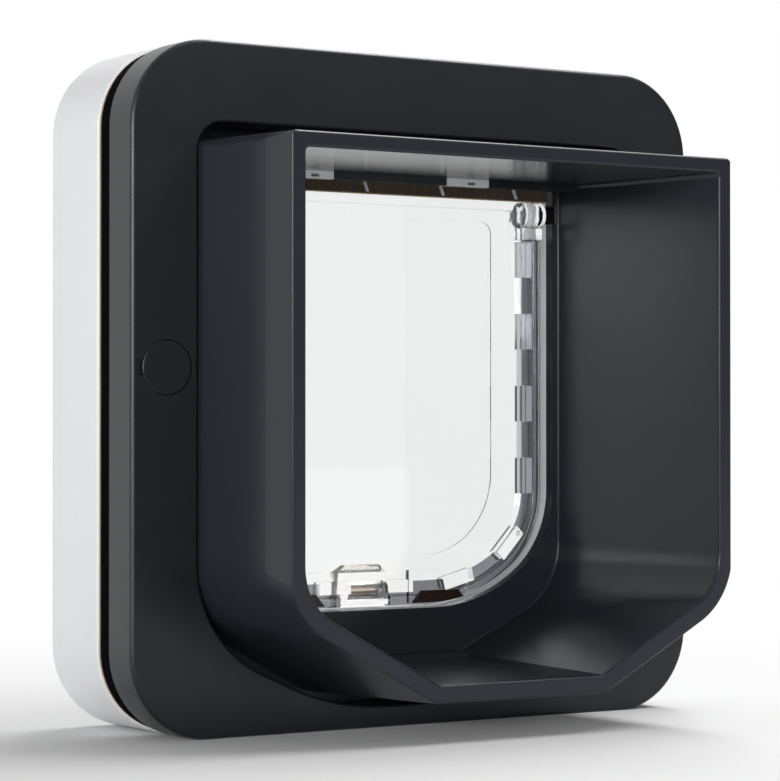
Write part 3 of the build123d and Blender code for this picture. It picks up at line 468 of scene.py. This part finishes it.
pileLook = {
    "root": srgb(66, 51, 38),
    "strand": srgb(112, 90, 68),
    "strandScale": 2400.0,
    "strandStretch": (1.0, 1.0, 0.05),
    "tip": srgb(196, 178, 148),
    "tipFrom": 0.0644,  # heights between which the strand turns into the tip
    "tipTo": 0.0640,
    "roughness": 0.75,
    "sheen": 0.2,
}


def pileFinish(name, look):
    finish, tree, shader, coords = newFinish(name)
    strands = addNoise(tree, coords, look["strandScale"], 2.0, 0.6, look["strandStretch"])
    tint = addRamp(tree, strands, [(0.3, look["root"]), (0.7, look["strand"])])
    height = splitAxis(tree, coords, "Z")
    end = addRange(tree, height, 0.0, 1.0, look["tipFrom"], look["tipTo"])
    feed(tree, shader.inputs, {
        "Base Color": addMix(tree, end, tint, look["tip"]),
        "Roughness": look["roughness"],
        "Sheen Weight": look["sheen"],
    })
    return finish


finishes["brown_pile"] = pileFinish("brown_pile", pileLook)
print("finishes:", len(finishes))


# Every CAD piece takes the finish of its own slot, or one made for it alone

slotOf = {entry["node"]: entry["material_slot"] for entry in frame["record"]["subparts"]}
for nodeName, piece in nodes.items():
    finish = ownFinishes.get(nodeName, finishes[slotOf[nodeName]])
    if not piece.material_slots:
        piece.data.materials.append(finish)
    for holder in piece.material_slots:
        holder.material = finish
print("CAD pieces dressed:", len(nodes))


# Draught brush: rows of fine bristles hanging from a backing strip

brush = {
    "rows": 9,
    "spacing": 0.00019,
    "shift": (0.2, 0.8),  # a bristle's place within its spacing
    "thickness": 0.00012,
    "sides": 3,
    "taper": 0.55,
    "backing": 0.0007,
    "lean": 0.00014,
    "trim": 0.0001,
}
boxFaces = ((0, 1, 3, 2), (4, 6, 7, 5), (0, 4, 5, 1), (2, 3, 7, 6), (0, 2, 6, 4), (1, 5, 7, 3))


def addBristle(mesh, foot, tip, look):
    rings = []
    for centre, scale in ((foot, 1.0), (tip, look["taper"])):
        corners = []
        for side in range(look["sides"]):
            angle = side * 2 * math.pi / look["sides"]
            offset = Vector((math.cos(angle), math.sin(angle), 0)) * look["thickness"] * scale
            corners.append(mesh.verts.new(centre + offset))
        rings.append(corners)
    lower, upper = rings
    for side in range(look["sides"]):
        following = (side + 1) % look["sides"]
        mesh.faces.new((lower[side], lower[following], upper[following], upper[side]))
    mesh.faces.new(upper)
    mesh.faces.new(list(reversed(lower)))


def addBox(mesh, low, high):
    corners = [mesh.verts.new((x, y, z)) for x in (low[0], high[0]) for y in (low[1], high[1])
               for z in (low[2], high[2])]
    for face in boxFaces:
        mesh.faces.new([corners[index] for index in face])


def meshPiece(name, mesh, finish):
    data = bpy.data.meshes.new(name)
    mesh.normal_update()
    mesh.to_mesh(data)
    mesh.free()
    piece = bpy.data.objects.new(name, data)
    piece.data.materials.append(finish)
    bpy.context.scene.collection.objects.link(piece)
    return piece


brushLow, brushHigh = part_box("draught_brush")
brushMesh = bmesh.new()
stripBottom = brushHigh.z - brush["backing"]
addBox(brushMesh, (brushLow.x, brushLow.y, stripBottom), (brushHigh.x, brushHigh.y, brushHigh.z))
stepY = (brushHigh.y - brushLow.y - 2 * brush["lean"]) / (brush["rows"] - 1)
perRow = int((brushHigh.x - brushLow.x - 2 * brush["lean"]) / brush["spacing"])
for row in range(brush["rows"]):
    for index in range(perRow):
        shift = random.uniform(*brush["shift"])
        footX = brushLow.x + brush["lean"] + (index + shift) * brush["spacing"]
        footY = brushLow.y + brush["lean"] + row * stepY
        tipZ = brushLow.z + random.uniform(0, brush["trim"])
        sway = Vector((random.uniform(-1, 1), random.uniform(-1, 1), 0)) * brush["lean"]
        foot = Vector((footX, footY, stripBottom + brush["thickness"]))
        tip = Vector((footX, footY, tipZ)) + sway
        addBristle(brushMesh, foot, tip, brush)
bristleStrip = meshPiece("bristle_strip", brushMesh, finishes["brown_pile"])
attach(bristleStrip, "unit")
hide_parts("draught_brush")
print("bristles:", brush["rows"] * perRow)


# Floor, soft light and the white studio

studio = {
    "floorSize": 8.0,
    "floorHeight": -0.105,
    "floorColour": (0.88, 0.88, 0.88, 1.0),
    "floorWear": 0.99,
    "floorWearScale": 3.0,
    "floorRoughness": 0.9,
    "floorSpecular": 0.0,
    "floorNear": 0.14,  # from here to floorFar the floor fades into the white backdrop
    "floorFar": 0.40,
    "worldColour": (1.0, 1.0, 1.0, 1.0),
    "worldFrom": (-0.55, 0.62, 0.56),  # towards the bright side of the studio
    "worldSpan": (-0.6, 0.7),
    "worldDim": 0.07,
    "worldBright": 0.25,
    "glossDim": 0.06,
    "glossBright": 1.0,
}


def addSeen(tree, mirrored=1.0):
    # White for the camera and through clear plastic, and as white as it is mirrored for gloss
    path = addNode(tree, "ShaderNodeLightPath", {}).outputs
    seen = addMath(tree, "MAXIMUM", path["Is Camera Ray"], path["Is Transmission Ray"])
    mirrored = addMath(tree, "MULTIPLY", mirrored, path["Is Glossy Ray"])
    return addMath(tree, "MAXIMUM", seen, mirrored)


def makeFloor(look):
    half = look["floorSize"] / 2
    mesh = bmesh.new()
    corners = [mesh.verts.new((x, y, look["floorHeight"])) for x, y in
               ((-half, -half), (half, -half), (half, half), (-half, half))]
    mesh.faces.new(corners)
    finish, tree, shader, coords = newFinish("studio_floor")
    wear = addNoise(tree, coords, look["floorWearScale"])
    feed(tree, shader.inputs, {
        "Base Color": addMottle(tree, wear, look["floorColour"], look["floorWear"], 1.0),
        "Roughness": look["floorRoughness"],
        "Specular IOR Level": look["floorSpecular"],
    })
    away = addNode(tree, "ShaderNodeVectorMath", {0: coords}, "LENGTH").outputs["Value"]
    white = addRange(tree, away, 0.0, 1.0, look["floorNear"], look["floorFar"])
    glow = addNode(tree, "ShaderNodeEmission", {})
    blend = addNode(tree, "ShaderNodeMixShader", {
        "Fac": addMath(tree, "MULTIPLY", addSeen(tree), white),
        1: shader.outputs["BSDF"],
        2: glow.outputs["Emission"],
    })
    feed(tree, tree.nodes["Material Output"].inputs, {"Surface": blend.outputs["Shader"]})
    floor = meshPiece("studio_floor", mesh, finish)


def makeWorld(look):
    world = bpy.data.worlds.new("studio")
    bpy.context.scene.world = world
    world.use_nodes = True
    tree = world.node_tree
    coords = addNode(tree, "ShaderNodeTexCoord", {}).outputs["Generated"]
    brightSide = tuple(Vector(look["worldFrom"]).normalized())
    facing = addNode(tree, "ShaderNodeVectorMath", {0: coords, 1: brightSide}, "DOT_PRODUCT")
    facing = facing.outputs["Value"]
    # Light on the object, and what its glossy faces mirror: white behind it, dim on the near side
    level = addRange(tree, facing, look["worldDim"], look["worldBright"], *look["worldSpan"])
    mirrored = addRange(tree, facing, look["glossDim"], look["glossBright"], *look["worldSpan"])
    feed(tree, tree.nodes["Background"].inputs, {
        "Color": look["worldColour"],
        "Strength": addMath(tree, "MAXIMUM", addSeen(tree, mirrored), level),
    })


def makeSoftbox(name, look):
    data = bpy.data.lights.new(name, "AREA")
    data.shape = "RECTANGLE"
    data.size, data.size_y = look["size"]
    data.energy = look["power"]
    box = bpy.data.objects.new(name, data)
    box.location = look["place"]
    box.rotation_euler = (-Vector(look["place"])).to_track_quat("-Z", "Y").to_euler()
    bpy.context.scene.collection.objects.link(box)


softboxes = {
    "leftSoftbox": {"place": (-1.9, 0.3, 0.6), "size": (1.4, 1.4), "power": 0.5},
    "edgeStrip": {"place": (-1.48, -1.24, 0.25), "size": (1.4, 0.35), "power": 24.0},
    "topStrip": {"place": (0.75, 0.05, 1.3), "size": (2.0, 0.35), "power": 25.0},
    "rightFill": {"place": (1.5, -2.2, 1.2), "size": (1.2, 1.2), "power": 6.0},
    "frontFill": {"place": (-0.5, -2.4, 0.25), "size": (0.7, 0.7), "power": 7.0},
}
makeFloor(studio)
makeWorld(studio)
for name, look in softboxes.items():
    makeSoftbox(name, look)
print("studio set:", len(softboxes), "softboxes")


# Camera at the photo's viewing angle

camera = {
    "place": (-0.49947, -0.75249, -0.00978),
    "turn": -33.49,  # degrees from straight at the street side
    "tilt": 0.63,  # degrees above level
    "lens": 129.95,
    "sensor": 36.0,
    "near": 0.01,
    "far": 50.0,
}
cameraData = bpy.data.cameras.new("photoCamera")
cameraData.lens = camera["lens"]
cameraData.sensor_width = camera["sensor"]
cameraData.clip_start = camera["near"]
cameraData.clip_end = camera["far"]
photoCamera = bpy.data.objects.new("photoCamera", cameraData)
photoCamera.location = camera["place"]
photoCamera.rotation_euler = (math.radians(90 + camera["tilt"]), 0, math.radians(camera["turn"]))
bpy.context.scene.collection.objects.link(photoCamera)
bpy.context.scene.camera = photoCamera
bpy.context.scene.view_settings.view_transform = "Standard"
